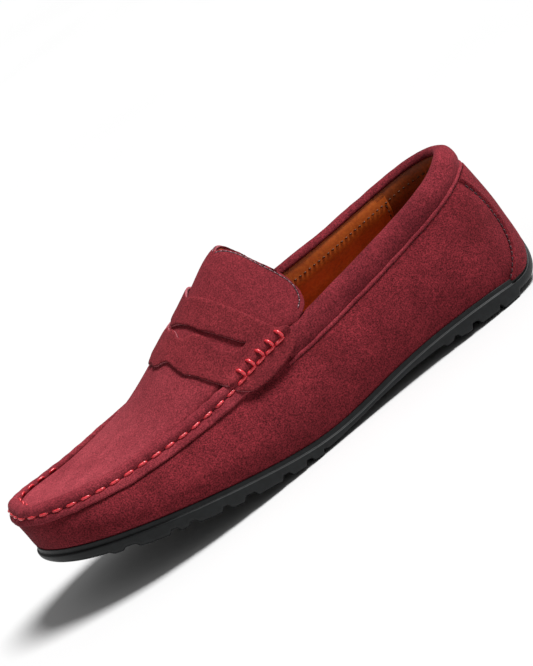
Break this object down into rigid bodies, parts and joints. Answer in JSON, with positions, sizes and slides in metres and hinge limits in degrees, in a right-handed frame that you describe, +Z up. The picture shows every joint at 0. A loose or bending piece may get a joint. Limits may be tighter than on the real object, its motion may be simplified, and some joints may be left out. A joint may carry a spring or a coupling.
{
  "type": "penny loafer",
  "caption": "Left slip-on driving loafer: suede moccasin upper with raised seam, saddle strap and tongue, padded collar, leather lining and lugged rubber sole.",
  "frame": {"origin": "on the ground below the middle of the shoe's box", "axes": "+Z up, toe towards -X, heel towards +X, lateral side of the left shoe towards -Y"},
  "size_m": [0.2836, 0.1024, 0.1017],
  "materials": {
    "suede": "burgundy suede, short nap",
    "lining_leather": "tan pigskin lining, semi-matt",
    "heel_leather": "brown leather heel lining, semi-matt",
    "sock_leather": "tan leather sock, semi-matt",
    "rubber": "black moulded rubber, satin",
    "waxed_thread": "red waxed thread, glossy",
    "dark_thread": "dark sewing thread",
    "foam": "open-cell foam",
    "board": "pressed fibre board",
    "stiffener": "thermoplastic fibre stiffener",
    "interlining": "woven cotton interlining"
  },
  "bodies": {
    "root": {"outsole": "rubber", "insole_board": "board", "heel_pad": "foam", "sock_liner": "sock_leather", "wall_upper": "suede", "apron_plug": "suede", "saddle_strap": "suede", "heel_overlay": "suede", "collar_cover": "suede", "collar_foam": "foam", "collar_piping": "suede", "heel_lining": "heel_leather", "quarter_lining_lateral": "lining_leather", "quarter_lining_medial": "lining_leather", "vamp_lining": "lining_leather", "apron_lining": "lining_leather", "toe_puff": "stiffener", "heel_counter": "stiffener", "interlining_lateral": "interlining", "interlining_medial": "interlining", "moc_seam_thread": "waxed_thread", "strap_thread_lateral": "waxed_thread", "strap_thread_medial": "waxed_thread", "tongue_topstitch": "dark_thread", "piping_topstitch": "dark_thread", "heel_overlay_topstitch": "dark_thread", "lining_topstitch": "dark_thread"}
  },
  "joints": []
}
